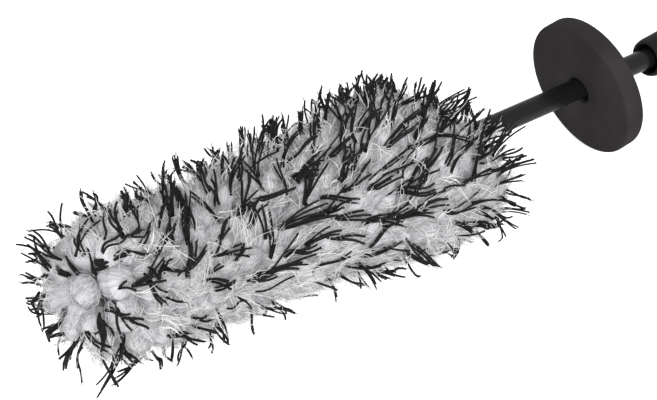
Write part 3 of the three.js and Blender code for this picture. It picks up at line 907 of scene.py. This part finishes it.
def rubber_grip():
    """The soft grip: a rounded lip round a recess, then a swell, a waist and a rear swell."""
    x0, x1 = GRIP_LOW[0], GRIP_HIGH[0]
    body_x = x0 + LIP_ROUND
    body = x1 - body_x
    keys = [0, 0.12, 0.32, 0.6, 0.86, 1]
    radii = [LIP_RADIUS, 11.3 * MM, SWELL_RADIUS, WAIST_RADIUS, REAR_RADIUS, REAR_RADIUS]
    share = np.linspace(0, 1, 40)
    side = smooth_through(keys, radii, share)
    outline = [
        (x0 + RECESS_DEPTH, RECESS_RADIUS),
        (x0 + 2 * MM, RECESS_RADIUS),
        (x0 + 0.7 * MM, RECESS_RADIUS + 0.1 * MM),
        (x0 + 0.25 * MM, RECESS_RADIUS + 0.35 * MM),
        (x0, RECESS_RADIUS + 0.8 * MM),
        (x0 + 0.15 * MM, RECESS_RADIUS + 1.25 * MM),
        (x0 + 0.7 * MM, RECESS_RADIUS + 1.8 * MM),
        (x0 + 1.7 * MM, LIP_RADIUS - 0.35 * MM),
        *[(body_x + body * s, r) for s, r in zip(share, side)],
        (x1, GRIP_BORE),
        (x0 + RECESS_DEPTH, GRIP_BORE),
    ]
    return drawn_rings("rubber_grip", outline, sides=96)


HANG_HOLE_RADIUS = 4 * MM
HANG_HOLE_FROM_END = 8.5 * MM


def end_cap():
    """The plug at the rear, with a cross hole for a hook."""
    x0, x1 = GRIP_HIGH[0] + 0.3 * MM, CAP_HIGH[0]
    outside = (CAP_HIGH[1] - CAP_LOW[1]) / 2
    flat = 7 * MM
    turn_x = x1 - HANG_HOLE_FROM_END
    angles = np.radians(np.linspace(0, 90, 12))
    dome = [
        (turn_x + (x1 - turn_x) * math.sin(a), outside - (outside - flat) * (1 - math.cos(a)))
        for a in angles
    ]
    spigot = 5.6 * MM
    edge = 0.5 * MM
    outline = [(CAP_LOW[0], spigot), (x0, spigot), (x0, outside - edge), (x0 + edge, outside), *dome]
    piece = drawn_rings("end_plug", outline, sides=96, closed=False)
    deselect()
    bpy.ops.mesh.primitive_cylinder_add(
        vertices=48, radius=HANG_HOLE_RADIUS, depth=4 * outside,
        location=(x1 - HANG_HOLE_FROM_END, 0, AXIS_Z), rotation=(math.pi / 2, 0, 0))
    drill = bpy.context.object
    apply(piece, "BOOLEAN", operation="DIFFERENCE", object=drill, solver="EXACT")
    bpy.data.objects.remove(drill)
    apply(piece, "BEVEL", width=0.5 * MM, segments=2, limit_method="ANGLE", angle_limit=math.radians(50))
    bpy.ops.object.shade_smooth_by_angle(angle=math.radians(35))
    return piece


# ---- Camera, floor and light ----


def camera():
    """Looks from ahead of the nose and above, with most of the handle out of view."""
    azimuth, elevation = math.radians(-31.9), math.radians(45)
    distance = 513.7 * MM
    level = math.cos(elevation)
    back = Vector((math.sin(azimuth) * level, -math.cos(azimuth) * level, math.sin(elevation)))
    aim = Vector((-87.0 * MM, 25.7 * MM, AXIS_Z - 31.3 * MM))
    data = bpy.data.cameras.new("camera")
    data.lens, data.sensor_width = 56.8, 36
    data.clip_start, data.clip_end = 0.01, 20
    eye = bpy.data.objects.new("camera", data)
    bpy.context.collection.objects.link(eye)
    eye.location = aim + back * distance
    eye.rotation_mode = "QUATERNION"
    eye.rotation_quaternion = (-back).to_track_quat("-Z", "Y")
    bpy.context.scene.camera = eye


def floor():
    """A pale sheet that the camera sees as white, and that lights the brush no more than paper would."""
    deselect()
    bpy.ops.mesh.primitive_plane_add(size=8, location=(0, 0, 0))
    sheet = bpy.context.object
    sheet.name = "floor"
    material, nodes, links = new_material("pale floor")
    shader = nodes["Principled BSDF"]
    shader.inputs["Base Color"].default_value = (0.93, 0.93, 0.93, 1)
    shader.inputs["Roughness"].default_value = 0.9
    shader.inputs["Emission Color"].default_value = (1, 1, 1, 1)
    seen, glow = nodes.new("ShaderNodeLightPath"), nodes.new("ShaderNodeMath")
    glow.operation = "MULTIPLY"
    glow.inputs[1].default_value = 0.6
    links.new(seen.outputs["Is Camera Ray"], glow.inputs[0])
    links.new(glow.outputs[0], shader.inputs["Emission Strength"])
    sheet.data.materials.append(material)


def soft_light(name, place, target, size, power):
    data = bpy.data.lights.new(name, "AREA")
    data.shape, data.size, data.energy = "DISK", size, power
    lamp = bpy.data.objects.new(name, data)
    bpy.context.collection.objects.link(lamp)
    lamp.location = place
    lamp.rotation_mode = "QUATERNION"
    lamp.rotation_quaternion = (Vector(target) - Vector(place)).to_track_quat("-Z", "Y")


def studio():
    """Even light from all round, with a soft key from the side in view."""
    world = bpy.data.worlds.new("studio")
    bpy.context.scene.world = world
    bpy.context.scene.view_settings.view_transform = "Standard"
    world.use_nodes = True
    sky = world.node_tree.nodes["Background"]
    sky.inputs["Color"].default_value = (1, 1, 1, 1)
    sky.inputs["Strength"].default_value = 0.68
    middle = (-0.05, 0, 0.04)
    soft_light("key", (-0.45, -0.95, 0.85), middle, 0.5, 12.5)
    soft_light("side", (-1.2, 0.1, 0.35), middle, 0.8, 4)
    soft_light("back", (0.2, 0.9, 1.0), middle, 0.9, 1.5)


# ---- The brush ----


def draws(part):
    """A generator of its own for each part, so that a change to one leaves the others as they are."""
    return np.random.default_rng([SEED, part])


camera()
floor()
studio()

tuft_piece, tuft_paths, tuft_radii = tufts(draws(1))
yarn, yarn_lines = black_yarn(draws(2))
frayed = frayed_tips(draws(3), yarn_lines)
head = [(pile_bed(), BED_FLUFF_PAINTED_SHADE), (tuft_piece, TUFT_FLUFF)]
for make, first_draw, pieces, count in (
    (combed_fibres, 10, 4, 7500),
    (swirled_fibres, 20, 2, 7000),
    (loose_fuzz, 30, 3, 7000),
):
    for part in range(pieces):
        name = f"{make.__name__}_{part + 1}"
        head.append((make(draws(first_draw + part), tuft_paths, tuft_radii, count, name), FUZZ))
head.append((white_fibres(draws(4), 1500, "white_fibres"), WHITE_FIBRE))
head.append((stem_lock(draws(5)), WHITE_FIBRE))
for piece, material in head:
    wear(piece, material)
    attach(piece, "brush")
for piece in (yarn, frayed):
    wear(piece, YARN)
    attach(piece, "brush")
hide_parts("pile", "nose_tuft")

sleeve = stem_sleeve()
wear(sleeve, SLEEVE)
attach(sleeve, "brush")
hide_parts("stem_sleeve")

guard = splash_guard()
wear(guard, FOAM)
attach(guard, "guard")
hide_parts("splash_guard")

grip = rubber_grip()
wear(grip, RUBBER)
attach(grip, "brush")
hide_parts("grip")

plug = end_cap()
wear(plug, PLASTIC)
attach(plug, "brush")
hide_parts("end_cap")

for node, material in (
    ("tip_cap", PLASTIC), ("handle_core", PLASTIC),
    ("core_wire_a", WIRE), ("core_wire_b", WIRE), ("wire_ferrule", WIRE),
):
    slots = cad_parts[node].material_slots
    slots[0].material = material
